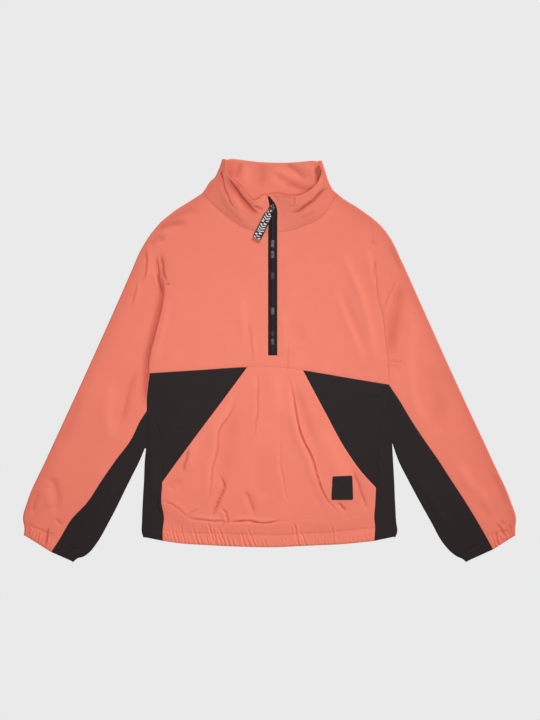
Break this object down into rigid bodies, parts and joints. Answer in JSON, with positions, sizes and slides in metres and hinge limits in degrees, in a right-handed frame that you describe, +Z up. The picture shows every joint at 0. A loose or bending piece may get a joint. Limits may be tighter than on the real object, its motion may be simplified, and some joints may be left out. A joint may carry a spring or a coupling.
{
  "type": "youth half-zip softshell pullover, laid flat",
  "caption": "Half-zip softshell pullover with stand collar, kangaroo pocket and gathered hem and cuffs, laid flat with its front up.",
  "frame": {"origin": "bottom centre of the box round the laid garment, on the surface it rests on", "axes": "+X to the right as the picture shows it, +Y from hem to neck, +Z up from the surface to the front"},
  "size_m": [0.8618, 0.7079, 0.0181],
  "materials": {
    "coral_softshell": "matt woven stretch cloth",
    "black_softshell": "matt woven stretch cloth",
    "zip_tape": "woven tape",
    "zip_chain": "nylon coil",
    "slider_metal": "black enamel",
    "ring_metal": "black enamel",
    "pull_ribbon": "woven ribbon in black, grey and white",
    "label": "woven label, left bare"
  },
  "bodies": {
    "garment": {"back": "coral_softshell", "front_yoke": "coral_softshell", "lower_front": "black_softshell", "pocket_panel": "coral_softshell", "side_panel_left": "black_softshell", "side_panel_right": "black_softshell", "sleeve_left": "coral_softshell", "sleeve_right": "coral_softshell", "sleeve_gusset_left": "black_softshell", "sleeve_gusset_right": "black_softshell", "collar": "coral_softshell", "zip_tape": "zip_tape", "zip_chain": "zip_chain", "zip_slider": "slider_metal", "label_patch": "label"},
    "zip_pull": {"pull_ring": "ring_metal", "pull_ribbon": "pull_ribbon"}
  },
  "joints": [
    {"name": "pull_hinge", "type": "hinge", "parent": "garment", "child": "zip_pull", "pos_m": [0.005, 0.2665, 0.01245], "axis": [-0.8944, 0.4472, 0], "range_deg": [0, 165]}
  ]
}
